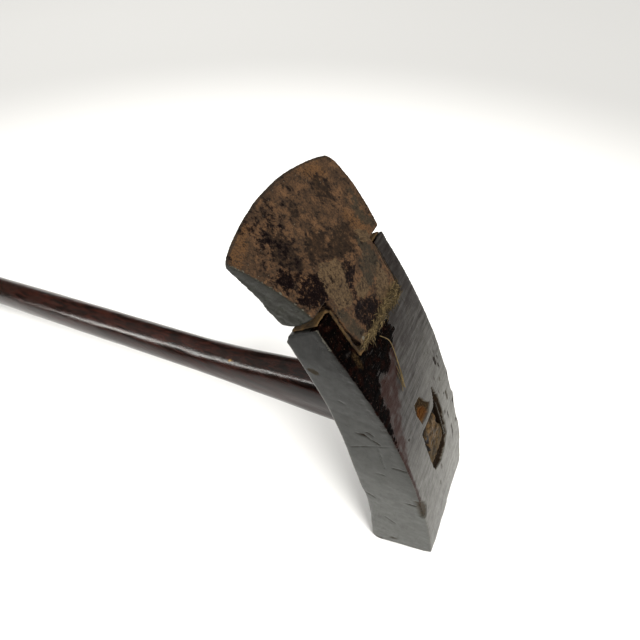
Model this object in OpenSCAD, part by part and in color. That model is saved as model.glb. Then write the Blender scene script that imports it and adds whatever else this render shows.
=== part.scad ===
// Adze with a curved wooden head block. An iron blade is let into the front of the
// block between two cheeks, and a wooden handle goes through it and is wedged.
// The tool lies as it rests on a bench: on the back edge of its butt and on the end
// of its handle. X points away from the handle, Y across the head, Z up.

/* [Head block] */
// Width of the block
head_w = 76; // [60:1:90]
// Height of the cheeks' front corner above the bench
head_h = 211; // [190:1:230]
// How far the cheeks' front corner leans back from the butt's front edge
head_lean = 86; // [70:1:100]
// Radius of the front face, seen from the side
front_r = 473; // [380:1:700]
// Radius of the back face, seen from the side
back_r = 600; // [450:1:900]
// Height of the butt's front edge above the bench
butt_rise = 22; // [12:1:30]
// How far the block reaches back at bench level
butt_t = 41; // [32:1:50]
// Thickness of the cheeks at their top end
top_t = 22; // [17:1:24]
// Slope of the cheeks' top ends
top_slope = 39; // [30:1:45]
// Width of the eased back edge of the cheeks' top ends
top_ease = 3; // [1:0.5:6]
// Radius of the edge that the block stands on
butt_round = 5; // [2:0.5:8]

/* [Blade] */
// Angle of the blade's front face above the horizontal
blade_tilt = 38.5; // [30:0.5:50]
// Length of the blade from its shoulders to the middle of its edge
blade_len = 50.5; // [40:0.5:70]
// Width at the shoulders
shoulder_w = 73.5; // [60:0.5:90]
// Width at the corners of the edge
edge_w = 94; // [76:1:110]
// Radius of the curved edge
edge_r = 121; // [80:1:300]
// Thickness at the shoulders
blade_t = 19.5; // [12:0.5:22]
// Thickness that the straight taper of the back would leave at the edge
web_t = 2.5; // [2:0.5:5]
// Angle of the sharpening at the edge
bevel = 34; // [20:1:40]
// Angle by which the shoulders' undersides lean away from the cheeks
shoulder_rake = 20; // [10:1:30]
// Gap between the shoulders and the cheeks
shoulder_gap = 4; // [2.5:0.1:6]

/* [Tang] */
// Angle of the tang above the horizontal
tang_tilt = 54.4; // [50:0.1:58]
// Width of the tang at its front
tang_w = 49; // [36:1:54]
// Length of the tang below the shoulders
tang_len = 30; // [20:1:45]
// Thickness of the tang
tang_t = 8; // [5:0.5:9]
// Height of the tang's front above the wood
tang_proud = 0.5; // [0:0.1:3]
// Undercut of each side of the tang
undercut = 8; // [3:1:15]

/* [Packing] */
// Thickness of the fibre beside and behind the tang
pack_t = 1.3; // [0.5:0.1:2.5]
// Thickness of the fibre below the tang
pack_foot = 3; // [1:0.5:6]
// How far the fibre on the cheeks' top ends stays inside their edges
pack_inset = 1.5; // [0.5:0.5:3]

/* [Handle] */
// Slope of the handle
handle_slope = 10.3; // [6:0.1:14]
// Height at which the handle's axis leaves the front face
axis_z = 111; // [100:1:125]
// Size of the handle across its flats
handle_d = 25.5; // [22:0.5:32]
// Slope of the heel, which thickens the handle's top towards the head
heel_slope = 4.6; // [1:0.2:7]
// Distance behind the front face at which the heel begins
heel_start = 160; // [120:5:200]
// Slope of the upper diagonal facets, which grow narrower towards the head
fade_slope = 2.4; // [1:0.2:4]
// Distance behind the front face at which those facets begin to slope
fade_start = 210; // [205:5:260]
// Size of the eased edge round the handle's end
end_ease = 3; // [1:0.5:6]

/* [Tenon and wedge] */
// Width of the tenon
tenon_w = 25; // [18:0.5:30]
// Height of the tenon above the axis
tenon_top = 9; // [5:0.5:11]
// Height of the tenon below the axis
tenon_foot = 12; // [8:0.5:12.5]
// Thickness of the wedge at the front face
wedge_front = 12.5; // [6:0.5:14]
// Thickness of the wedge at its thin end
wedge_back = 5; // [2:0.5:6]
// Length of the wedge behind the front face
wedge_len = 36; // [20:1:38]
// How far the tenon and the wedge end short of the front face
end_recess = 1.2; // [0.5:0.1:3]

/* [Hidden] */
$fn = 96;
big = 1000;
// How far a cutter runs past the face that it cuts
reach = 40;

// Centre of the circle of radius r through p and q, on the handle's side of them
function arc_centre(p, q, r) =
    let (m = (p + q) / 2,
         d = q - p,
         h = sqrt(r * r - d * d / 4),
         n = [-abs(d[1]), d[0] * sign(d[1])] / norm(d))
    m + h * [n[0], n[1]];

// The block's side outline, with the butt's front edge at x = 0
butt_front = [0, butt_rise];
top_front = [-head_lean, head_h];
top_back = top_front - top_t * [cos(top_slope), sin(top_slope)];
front_c = arc_centre(butt_front, top_front, front_r);
back_c = arc_centre([-butt_t, 0], top_back, back_r);

// Centre of the rounded edge that stands on the bench
round_c = [back_c[0] + sqrt(pow(back_r + butt_round, 2) - pow(butt_round - back_c[1], 2)), butt_round];
butt_run = butt_front - round_c;
butt_slope = atan2(butt_run[1], butt_run[0]) + asin(butt_round / norm(butt_run));

// The point where the handle's axis leaves the front face, and the handle's length
function front_x(z) = front_c[0] + sqrt(front_r * front_r - pow(z - front_c[1], 2));
axis_front = [front_x(axis_z), axis_z];
half_d = handle_d / 2;
handle_len = end_ease + (axis_z - half_d * cos(handle_slope)) / sin(handle_slope);

// The whole tool reaches from the handle's end to the butt's front edge
handle_end_x = axis_front[0] - handle_len * cos(handle_slope)
    - (half_d - end_ease) * sin(handle_slope);
x_middle = (handle_end_x + butt_front[0]) / 2;

// The blade's shoulder line, and the tang's slopes
shoulder = top_front + shoulder_gap * [-cos(tang_tilt), sin(tang_tilt)]
    + tang_proud * [sin(tang_tilt), cos(tang_tilt)];
housing_w = tang_w + 2 * pack_t;
housing_t = tang_t + pack_t;
flank = tan(undercut);

module place() {
    translate([-x_middle, 0, 0])
        children();
}

module along_y(width) {
    translate([0, width / 2, 0])
        rotate([90, 0, 0])
            linear_extrude(width)
                children();
}

module blade_frame() {
    translate([shoulder[0], 0, shoulder[1]])
        rotate([0, -blade_tilt, 180])
            children();
}

module tang_frame() {
    translate([shoulder[0], 0, shoulder[1]])
        rotate([0, -tang_tilt, 180])
            children();
}

module handle_frame() {
    translate([axis_front[0], 0, axis_front[1]])
        rotate([0, handle_slope, 180])
            children();
}

// Everything behind the front face, drawn `inset` below it
module front_cylinder(inset = 0) {
    translate([front_c[0], 0, front_c[1]])
        rotate([90, 0, 0])
            cylinder(r = front_r - inset, h = 2 * head_w, center = true, $fn = 360);
}

// Everything on the handle's side of the back face
module back_cylinder() {
    translate([back_c[0], 0, back_c[1]])
        rotate([90, 0, 0])
            cylinder(r = back_r, h = 2 * head_w, center = true, $fn = 360);
}

module block_side() {
    difference() {
        translate(front_c)
            circle(front_r, $fn = 360);
        translate(back_c)
            circle(back_r, $fn = 360);
        translate(top_front)
            rotate(top_slope)
                translate([-big, 0])
                    square([2 * big, big]);
        translate(butt_front)
            rotate(butt_slope)
                translate([-big, -big])
                    square([2 * big, big]);
        translate(top_back)
            rotate(top_slope - 45)
                translate([-top_ease, -top_ease / sqrt(2)])
                    square([top_ease * (1 + 1 / sqrt(2)), 2 * top_ease]);
        difference() {
            translate(round_c)
                rotate(butt_slope)
                    translate([-2 * butt_round, -2 * butt_round])
                        square([2 * butt_round, 2 * butt_round]);
            translate(round_c)
                circle(butt_round);
            translate(round_c)
                rotate(atan2(round_c[1] - back_c[1], round_c[0] - back_c[0]))
                    translate([-big, 0])
                        square([2 * big, big]);
        }
    }
}

// A flat-ended dovetail, width w at its front and t deep, that rises `up` and reaches `down`
module dovetail(w, t, up, down) {
    translate([-down, 0, 0])
        rotate([90, 0, 90])
            linear_extrude(up + down)
                polygon([
                    [-w / 2, 0],
                    [w / 2, 0],
                    [w / 2 + t * flank, -t],
                    [-w / 2 - t * flank, -t]
                ]);
}

module housing() {
    tang_frame()
        dovetail(housing_w, housing_t, reach, tang_len + pack_foot);
}

module tang() {
    tang_frame()
        dovetail(tang_w, tang_t, tang_t, tang_len);
}

// The blade's side outline: a flat front and a back that tapers to the web
module blade_side() {
    polygon([
        [0, 0],
        [blade_len, 0],
        [blade_len, -web_t],
        [blade_t * tan(shoulder_rake), -blade_t]
    ]);
}

// The blade's flared front, from the shoulders past the corners of the edge
module blade_front() {
    corner = blade_len - edge_r + sqrt(edge_r * edge_r - edge_w * edge_w / 4);
    polygon([
        [0, -shoulder_w / 2],
        [corner, -edge_w / 2],
        [blade_len, -edge_w / 2],
        [blade_len, edge_w / 2],
        [corner, edge_w / 2],
        [0, shoulder_w / 2]
    ]);
}

// The ball that meets the blade's front in the curved edge and leaves a slightly full bevel
module edge_ball() {
    translate([blade_len - edge_r, 0, edge_r / tan(bevel)])
        sphere(edge_r / sin(bevel), $fn = 360);
}

// Height of the wedge's lower side at a distance x behind the front face
function wedge_low(x) = -tenon_foot - wedge_front + (wedge_front - wedge_back) / butt_t * x;

// The side outline between the lines `top` and the wedge's lower side, in the handle's frame
module wedge_side(from, to, top) {
    polygon([
        [from, wedge_low(from)],
        [to, wedge_low(to)],
        [to, top],
        [from, top]
    ]);
}

module mortise() {
    handle_frame()
        along_y(tenon_w)
            wedge_side(-reach, 2 * reach, tenon_top);
}

// An outline of the handle that widens at an angle `slope` on one side, from `start` to the head
module handle_outline(slope = 0, start = 0) {
    polygon([
        [0, half_d + start * tan(slope)],
        [start, half_d],
        [handle_len - end_ease, half_d],
        [handle_len, half_d - end_ease],
        [handle_len, end_ease - half_d],
        [handle_len - end_ease, -half_d],
        [0, -half_d]
    ]);
}

// The space between one pair of opposite facets that lie between the handle's flats
module hewn_diagonal(turn) {
    rotate([turn, 0, 0])
        along_y(2 * reach)
            handle_outline(fade_slope, fade_start);
}

// The handle as it is hewn: eight flat sides, with a heel on top and upper facets that narrow
module handle_body() {
    handle_frame()
        intersection() {
            along_y(2 * reach)
                handle_outline(heel_slope, heel_start);
            rotate([90, 0, 0])
                along_y(2 * reach)
                    handle_outline();
            hewn_diagonal(45);
            hewn_diagonal(-45);
        }
}

module tenon() {
    handle_frame()
        translate([-reach, -tenon_w / 2, -tenon_foot])
            cube([2.5 * reach, tenon_w, tenon_foot + tenon_top]);
}

// A thin slab that covers the cheeks' top ends, pack_t thick
module cheek_pad() {
    along_y(head_w - 2 * pack_inset)
        translate(top_front)
            rotate(180 + top_slope)
                translate([pack_inset, -pack_t])
                    square([top_t - 2 * pack_inset, pack_t]);
}

module head_block() {
    color("#3d342d")
        place()
            difference() {
                along_y(head_w)
                    block_side();
                housing();
                mortise();
            }
}

module blade() {
    color("#6b5744")
        place() {
            blade_frame()
                intersection() {
                    along_y(2 * edge_w)
                        blade_side();
                    translate([0, 0, -blade_t])
                        linear_extrude(blade_t)
                            blade_front();
                    edge_ball();
                }
            intersection() {
                tang();
                blade_frame()
                    translate([-2 * reach, -reach, -2 * reach])
                        cube([3 * reach, 2 * reach, 2 * reach]);
            }
        }
}

module tang_packing() {
    color("#b39a5c")
        place()
            difference() {
                union() {
                    cheek_pad();
                    intersection() {
                        housing();
                        along_y(head_w)
                            block_side();
                    }
                }
                tang();
            }
}

module handle() {
    color("#33170d")
        place() {
            intersection() {
                handle_body();
                back_cylinder();
            }
            intersection() {
                tenon();
                front_cylinder(end_recess);
            }
        }
}

module handle_wedge() {
    color("#8f6c45")
        place()
            intersection() {
                handle_frame()
                    along_y(tenon_w)
                        wedge_side(-reach, wedge_len, -tenon_foot);
                front_cylinder(end_recess);
            }
}

head_block();
blade();
tang_packing();
handle();
handle_wedge();
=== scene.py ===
"""Looks of the adze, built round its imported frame. Lengths are in metres."""

import math

import bpy
import numpy as np
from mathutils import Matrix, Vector


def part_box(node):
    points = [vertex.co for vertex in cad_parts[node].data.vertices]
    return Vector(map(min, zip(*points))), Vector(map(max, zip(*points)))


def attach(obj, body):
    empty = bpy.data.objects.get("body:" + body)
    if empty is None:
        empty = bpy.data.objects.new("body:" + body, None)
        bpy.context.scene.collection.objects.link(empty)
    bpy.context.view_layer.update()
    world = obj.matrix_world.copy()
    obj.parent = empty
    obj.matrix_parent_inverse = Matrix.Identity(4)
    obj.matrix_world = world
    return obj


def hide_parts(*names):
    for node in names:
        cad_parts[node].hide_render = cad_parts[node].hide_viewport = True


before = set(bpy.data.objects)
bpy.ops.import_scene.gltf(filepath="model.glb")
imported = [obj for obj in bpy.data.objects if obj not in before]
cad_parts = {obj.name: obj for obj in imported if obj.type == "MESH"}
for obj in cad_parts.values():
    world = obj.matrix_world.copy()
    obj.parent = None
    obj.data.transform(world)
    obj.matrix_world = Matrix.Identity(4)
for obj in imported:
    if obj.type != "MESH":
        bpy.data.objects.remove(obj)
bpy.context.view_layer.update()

MM = 0.001
WARM = (1.0, 0.985, 0.945)

# -------- driving dimensions

HEAD_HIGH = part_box("head_block")[1]
BUTT_X = HEAD_HIGH.x
HALF_HEAD = HEAD_HIGH.y
FRONT_R = 473 * MM
BACK_R = 600 * MM
BUTT_FRONT = (BUTT_X, 22 * MM)
BUTT_BACK = (BUTT_X - 41 * MM, 0)
TOP_FRONT = (BUTT_X - 86 * MM, HEAD_HIGH.z)
TOP_SLOPE = math.radians(39)
TOP_T = 22 * MM
TOP_BACK = (TOP_FRONT[0] - TOP_T * math.cos(TOP_SLOPE), TOP_FRONT[1] - TOP_T * math.sin(TOP_SLOPE))

BLADE_TILT = math.radians(38.5)
BLADE_LEN = 50.7 * MM
BLADE_T = 19.5 * MM
EDGE_R = 121 * MM
TANG_TILT = math.radians(54.4)
TANG_W = 49 * MM
TANG_LEN = 30 * MM
TANG_T = 8 * MM
SHOULDER_GAP = 4 * MM
TANG_PROUD = 0.5 * MM
# How much lower than the CAD's the near cheek's top is, by wear
CHEEK_DROP = 1.4 * MM

SLOPE = math.radians(10.3)
AXIS_Z = 111 * MM
HALF_D = 12.9 * MM
TENON_HALF_W = 12.5 * MM
TENON_TOP = 9 * MM
TENON_FOOT = 12 * MM
TENON_RECESS = 1.3 * MM


def arc_centre(low, high, r):
    """Centre of the circle of radius r through two points of a face, on the handle's side of it."""
    dx, dz = high[0] - low[0], high[1] - low[1]
    length = math.hypot(dx, dz)
    h = math.sqrt(r * r - length * length / 4)
    return ((low[0] + high[0]) / 2 - h * dz / length, (low[1] + high[1]) / 2 + h * dx / length)


FRONT_C = arc_centre(BUTT_FRONT, TOP_FRONT, FRONT_R)
BACK_C = arc_centre(BUTT_BACK, TOP_BACK, BACK_R)

# Directions: along the blade and the tang and out of their fronts, and along the handle and up from it
ACROSS = np.array((0.0, 1.0, 0.0))
BLADE_OUT = np.array((-math.cos(BLADE_TILT), 0, math.sin(BLADE_TILT)))
BLADE_FACE = np.array((math.sin(BLADE_TILT), 0, math.cos(BLADE_TILT)))
TANG_DOWN = np.array((math.cos(TANG_TILT), 0, -math.sin(TANG_TILT)))
TANG_FACE = np.array((math.sin(TANG_TILT), 0, math.cos(TANG_TILT)))
GRIP_OUT = np.array((-math.cos(SLOPE), 0, -math.sin(SLOPE)))
GRIP_UP = np.array((-math.sin(SLOPE), 0, math.cos(SLOPE)))

# Straight out of the middle of the head's front face
FACING = np.array((0.906, 0, 0.423))

SHOULDER = np.array((TOP_FRONT[0], 0, TOP_FRONT[1])) - SHOULDER_GAP * TANG_DOWN + TANG_PROUD * TANG_FACE
AXIS_FRONT = np.array((FRONT_C[0] + math.sqrt(FRONT_R**2 - (AXIS_Z - FRONT_C[1]) ** 2), 0, AXIS_Z))

# -------- noise for shaping meshes


def lattice(cell, seed):
    """A fixed pseudo-random number from 0 to 1 for each whole-numbered cell."""
    n = cell[:, 0] * 73856093 ^ cell[:, 1] * 19349663 ^ cell[:, 2] * 83492791 ^ seed * 2654435761
    n = (n ^ (n >> 13)) * 1274126177 & 0x7FFFFFFF
    return ((n ^ (n >> 16)) & 0xFFFFFF) / 0xFFFFFF


def noise(points, size, seed):
    """Smooth noise from -1 to 1, with features `size` long. `size` may differ along X, Y and Z."""
    p = points / np.array(size, float)
    low = np.floor(p).astype(np.int64)
    t = p - low
    t = t * t * (3 - 2 * t)
    total = 0
    for corner in np.ndindex(2, 2, 2):
        weight = np.prod(np.where(corner, t, 1 - t), axis=1)
        total = total + weight * lattice(low + corner, seed)
    return 2 * total - 1


def rough(points, size, seed, octaves):
    """Noise with finer and weaker noise added to it."""
    layers = [noise(points, np.array(size, float) / 2**k, seed + k) / 2**k for k in range(octaves)]
    return sum(layers)


def fade(x, start, end):
    """0 before start and 1 after end, with a smooth change between them."""
    t = np.clip((x - start) / (end - start), 0, 1)
    return t * t * (3 - 2 * t)


# -------- mesh helpers


def add_object(name, data):
    obj = bpy.data.objects.new(name, data)
    bpy.context.scene.collection.objects.link(obj)
    return obj


def new_object(name, verts, faces):
    mesh = bpy.data.meshes.new(name)
    mesh.from_pydata([tuple(v) for v in verts], [], faces)
    mesh.validate()
    return add_object(name, mesh)


def copy_of_cad(name, node):
    return add_object(name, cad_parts[node].data.copy())


def remesh(obj, voxel, smoothing):
    """Gives the object an even, closed mesh with softened edges."""
    cut = obj.modifiers.new("even", "REMESH")
    cut.mode = "VOXEL"
    cut.voxel_size = voxel
    soften = obj.modifiers.new("soften", "SMOOTH")
    soften.factor = 0.5
    soften.iterations = smoothing
    graph = bpy.context.evaluated_depsgraph_get()
    graph.update()
    mesh = bpy.data.meshes.new_from_object(obj.evaluated_get(graph))
    obj.modifiers.clear()
    obj.data = mesh


def read_vectors(items, name):
    values = np.empty(len(items) * 3, np.float32)
    items.foreach_get(name, values)
    return values.reshape(-1, 3).astype(float)


def points_of(obj):
    return read_vectors(obj.data.vertices, "co")


def normals_of(obj):
    return read_vectors(obj.data.vertex_normals, "vector")


def move_points(obj, co):
    obj.data.vertices.foreach_set("co", co.astype(np.float32).ravel())
    obj.data.update()


def paint(obj, name, values):
    """Stores one number per vertex, for the material to read."""
    layer = obj.data.attributes.new(name, "FLOAT", "POINT")
    layer.data.foreach_set("value", np.clip(values, 0, 1).astype(np.float32))


def finish_piece(obj, slot, material, *nodes):
    obj.data.materials.clear()
    obj.data.materials.append(material)
    obj.data.shade_smooth()
    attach(obj, "root")
    if nodes:
        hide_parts(*nodes)


def tube_faces(rings, around):
    """Quads between successive rings of points, and a face at each end."""
    faces = []
    for i in range(rings - 1):
        for j in range(around):
            k = (j + 1) % around
            faces.append((i * around + j, i * around + k, (i + 1) * around + k, (i + 1) * around + j))
    last = (rings - 1) * around
    return faces + [tuple(range(around))[::-1], tuple(range(last, last + around))]


# -------- node helpers


class Nodes:
    """The node tree of a material or a world, with a short call for each kind of node used here."""

    def __init__(self, owner):
        owner.use_nodes = True
        self.owner = owner
        self.tree = owner.node_tree
        self.tree.nodes.clear()
        self.place = self.node("TexCoord").outputs
        self.position = self.place["Object"]

    def link(self, value, socket):
        if isinstance(value, bpy.types.NodeSocket):
            self.tree.links.new(value, socket)
        elif value is not None:
            socket.default_value = value

    def node(self, kind, inputs=()):
        """A new node, with some of its inputs linked to sockets or set to values."""
        node = self.tree.nodes.new("ShaderNode" + kind)
        for name, value in dict(inputs).items():
            self.link(value, node.inputs[name])
        return node

    def stretch(self, scale, turn=(0, 0, 0)):
        inputs = {"Vector": self.position, "Rotation": turn, "Scale": scale}
        return self.node("Mapping", inputs).outputs["Vector"]

    def noise(self, size, detail, roughness, distortion=0.0, vector=None):
        inputs = {
            "Vector": self.position if vector is None else vector,
            "Scale": 1 / size,
            "Detail": detail,
            "Roughness": roughness,
            "Distortion": distortion,
        }
        return self.node("TexNoise", inputs).outputs["Fac"]

    def cells(self, size):
        return self.node("TexVoronoi", {"Vector": self.position, "Scale": 1 / size}).outputs["Distance"]

    def painted(self, name):
        node = self.node("Attribute")
        node.attribute_name = name
        return node.outputs["Fac"]

    def math(self, operation, a, b):
        node = self.node("Math")
        node.operation = operation
        self.link(a, node.inputs[0])
        self.link(b, node.inputs[1])
        return node.outputs[0]

    def add(self, a, b):
        return self.math("ADD", a, b)

    def times(self, a, b):
        return self.math("MULTIPLY", a, b)

    def greater(self, a, b):
        return self.math("MAXIMUM", a, b)

    def band(self, value, low, high, to_low=0.0, to_high=1.0):
        """Maps low..high of a value smoothly to to_low..to_high."""
        inputs = {"Value": value, "From Min": low, "From Max": high, "To Min": to_low, "To Max": to_high}
        node = self.node("MapRange", inputs)
        node.interpolation_type = "SMOOTHSTEP"
        return node.outputs["Result"]

    def ragged(self, name, texture, low, high, amount):
        """A painted mask, less or more by up to `amount` as the texture goes from low to high."""
        return self.add(self.painted(name), self.band(texture, low, high, -amount, amount))

    def mix(self, factor, a, b):
        node = self.node("Mix")
        node.data_type = "RGBA"
        self.link(factor, node.inputs[0])
        self.link(colour(a), node.inputs[6])
        self.link(colour(b), node.inputs[7])
        return node.outputs[2]

    def bump(self, height, distance, strength, normal=None):
        inputs = {"Height": height, "Distance": distance, "Strength": strength, "Normal": normal}
        return self.node("Bump", inputs).outputs["Normal"]

    def surface(self, base, roughness, specular, normal=None, metallic=None, tint=None):
        inputs = {
            "Base Color": base,
            "Roughness": roughness,
            "Specular IOR Level": specular,
            "Normal": normal,
            "Metallic": metallic,
            "Specular Tint": tint,
        }
        shader = self.node("BsdfPrincipled", inputs)
        self.node("OutputMaterial", {"Surface": shader.outputs[0]})
        return self.owner


def new_material(name):
    return Nodes(bpy.data.materials.new(name))


def colour(value):
    """Screen colour from 0 to 255, as the linear colour that a node takes. Sockets pass through."""
    if not isinstance(value, tuple):
        return value
    linear = [((c / 255 + 0.055) / 1.055) ** 2.4 if c > 10 else c / 255 / 12.92 for c in value]
    return (*linear, 1.0)


# -------- materials


def head_material():
    """Dark waxed wood, painted lighter towards the butt as a reflection of the floor and with a painted sheen
    on the front, with a rough black crust at the tang.
    """
    s = new_material("head_wood")
    across = s.stretch(turn=(math.radians(4), 0, 0), scale=(1, 0.1, 1))
    scrape = s.noise(1.9 * MM, 5, 0.65, 0.3, across)
    fine = s.noise(0.8 * MM, 3, 0.6, 0.0, across)
    grain = s.noise(1.5 * MM, 4, 0.6, 0.6, s.stretch(scale=(1, 1, 0.12)))
    cloud = s.noise(20 * MM, 4, 0.6, 0.4)
    mottle = s.noise(4.5 * MM, 5, 0.62, 0.2)
    grit = s.noise(1.1 * MM, 4, 0.7)
    front = s.painted("front")

    # The sides and back are painted lighter towards the bottom: a painted reflection of the floor
    pale = s.ragged("pale", cloud, 0.3, 0.7, 0.06)
    side_colour = s.mix(pale, (5, 5, 3), (69, 70, 66))
    side_colour = s.mix(s.band(grain, 0.5, 0.74, 0, 0.35), side_colour, (34, 31, 26))
    # A painted sheen on the front: lighter low down and towards the far side, standing in for reflected light
    front_sheen = s.ragged("front_sheen", scrape, 0.38, 0.62, 0.14)
    front_colour = s.mix(s.band(cloud, 0.35, 0.65), (16, 9, 6), (20, 14, 11))
    front_colour = s.mix(front_sheen, front_colour, (88, 87, 82))
    front_colour = s.mix(s.band(fine, 0.56, 0.74, 0, 0.3), front_colour, (78, 74, 68))
    front_colour = s.mix(s.band(grain, 0.55, 0.72, 0, 0.4), front_colour, (34, 24, 17))
    base = s.mix(front, side_colour, front_colour)
    reddened = s.band(s.ragged("red", mottle, 0.35, 0.65, 0.2), 0.3, 0.8, 0, 0.9)
    base = s.mix(reddened, base, (38, 16, 10))
    crust = s.mix(s.band(mottle, 0.46, 0.66), (7, 4, 4), (32, 14, 9))
    crust = s.mix(s.band(grit, 0.58, 0.7, 0, 0.9), crust, (76, 58, 46))
    crust = s.mix(s.band(s.cells(2.3 * MM), 0.09, 0.03, 0, 0.8), crust, (118, 104, 90))
    dark_edge = s.ragged("dark", scrape, 0.3, 0.7, 0.35)
    dark = s.band(s.add(dark_edge, s.band(mottle, 0.3, 0.7, -0.2, 0.2)), 0.36, 0.74)
    base = s.mix(dark, base, crust)
    # Rubbed edges, lighter with painted highlights, a painted reflection and a painted glint
    rub_and_highlight = s.ragged("rub_and_highlight", mottle, 0.35, 0.65, 0.3)
    base = s.mix(s.band(rub_and_highlight, 0.35, 0.9, 0, 0.7), base, (84, 82, 74))
    stained = s.band(s.ragged("stain", mottle, 0.3, 0.7, 0.3), 0.35, 0.8, 0, 0.8)
    base = s.mix(stained, base, (46, 39, 24))
    raw = s.mix(s.band(grit, 0.4, 0.65), (34, 24, 14), (74, 60, 40))
    base = s.mix(s.painted("raw"), base, raw)
    orange = s.mix(s.band(fine, 0.35, 0.65), (70, 40, 18), (98, 68, 38))
    base = s.mix(s.painted("orange"), base, orange)
    crack = s.painted("crack")
    # Cracks and dashes painted dark, and painted shade in the mortise's hollows
    base = s.mix(s.band(crack, 0.2, 0.8), base, (34, 26, 18))

    height = s.add(s.times(scrape, front), s.times(grain, 0.4))
    height = s.add(height, s.times(grit, s.times(dark, 2.0)))
    height = s.math("SUBTRACT", height, s.times(crack, 1.2))
    normal = s.bump(height, 0.3 * MM, 0.5)
    exposed = s.greater(s.painted("raw"), s.painted("orange"))
    rough = s.add(s.band(mottle, 0.3, 0.7, 0.36, 0.48), s.times(exposed, 0.4))
    # The crust is sooty: it takes away the wax's shine, and so do the cracks, the painted shade in the
    # mortise, the stains, the red patches and bare wood
    dull_marks = s.times(s.greater(s.band(crack, 0.1, 1), stained), 0.85)
    dull_marks = s.greater(dull_marks, s.times(reddened, 0.6))
    soot = s.times(s.greater(s.greater(dark, exposed), dull_marks), 0.9)
    shine = s.mix(soot, (255, 255, 255), (40, 30, 28))
    return s.surface(base, rough, 0.19, normal, metallic=soot, tint=shine)


def rust_material():
    """Old iron: granular brown rust with darker scale, bare grey at the sides, with painted highlights and a
    painted glint on its edges, and painted shade under its shoulders.
    """
    s = new_material("rusted_iron")
    broad = s.noise(11 * MM, 6, 0.62, 0.5)
    patch = s.noise(5 * MM, 6, 0.66, 0.3)
    speck = s.noise(1.8 * MM, 5, 0.7, 0.2)
    grit = s.noise(0.75 * MM, 3, 0.65)
    front = s.painted("front")

    def spread(name, amount, low=0.34, high=0.74):
        """A painted mask with its rim broken up by noise of three sizes."""
        ragged = s.ragged(name, patch, 0.3, 0.7, amount)
        ragged = s.add(ragged, s.band(speck, 0.3, 0.7, -amount, amount))
        ragged = s.add(ragged, s.band(grit, 0.3, 0.7, -0.9 * amount, 0.9 * amount))
        return s.band(ragged, low, high)

    rust = s.mix(s.band(broad, 0.38, 0.62), (56, 39, 25), (82, 58, 38))
    rust = s.mix(s.band(patch, 0.46, 0.6, 0, 0.75), rust, (38, 26, 17))
    rust = s.mix(s.times(spread("orange", 0.4), 0.6), rust, (86, 58, 31))
    rust = s.mix(s.band(speck, 0.48, 0.62, 0, 0.7), rust, (27, 21, 15))
    rust = s.mix(s.times(spread("grey", 0.4), 0.8), rust, (36, 33, 25))
    rust = s.mix(s.times(spread("scale", 0.4), 0.8), rust, (23, 17, 13))
    tan = s.mix(s.band(speck, 0.4, 0.62), (78, 62, 43), (52, 40, 27))
    rust = s.mix(spread("tan", 0.24, 0.42, 0.6), rust, tan)
    rust = s.mix(s.band(grit, 0.4, 0.52, 0.5, 0), rust, (24, 17, 12))
    rust = s.mix(s.band(grit, 0.6, 0.74, 0, 0.6), rust, (100, 80, 56))
    black = s.mix(s.band(grit, 0.55, 0.72), (6, 3, 4), (44, 34, 31))
    # The black mask also holds painted shade under the shoulders and along the tang
    rust = s.mix(s.times(spread("black", 0.42), 0.97), rust, black)
    rust = s.mix(s.band(s.cells(3.3 * MM), 0.07, 0.02, 0, 0.7), rust, (118, 112, 100))
    side = s.mix(s.band(patch, 0.35, 0.7), (17, 19, 15), (28, 30, 24))
    side = s.mix(s.band(speck, 0.56, 0.72, 0, 0.6), side, (14, 11, 8))
    base = s.mix(front, side, rust)
    # Painted highlights and a painted glint on rubbed edges
    rub_and_highlight = s.ragged("rub_and_highlight", speck, 0.35, 0.65, 0.45)
    base = s.mix(s.band(rub_and_highlight, 0.6, 0.95, 0, 0.7), base, (92, 90, 80))
    base = s.mix(s.band(s.painted("rim"), 0.3, 0.9, 0, 0.7), base, (22, 17, 13))

    height = s.add(s.times(patch, 0.9), s.times(speck, 0.8))
    height = s.add(height, s.times(grit, 0.4))
    normal = s.bump(s.times(height, s.band(front, 0, 1, 0.25, 1)), 0.45 * MM, 0.55)
    rough = s.band(s.add(speck, s.times(front, 0.3)), 0.35, 0.95, 0.4, 0.75)
    # Loose scale has no shine
    loose = s.greater(spread("black", 0.42), s.times(spread("scale", 0.4), 0.6))
    shine = s.mix(loose, (255, 244, 230), (30, 25, 25))
    return s.surface(base, rough, 0.18, normal, tint=shine)


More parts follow.
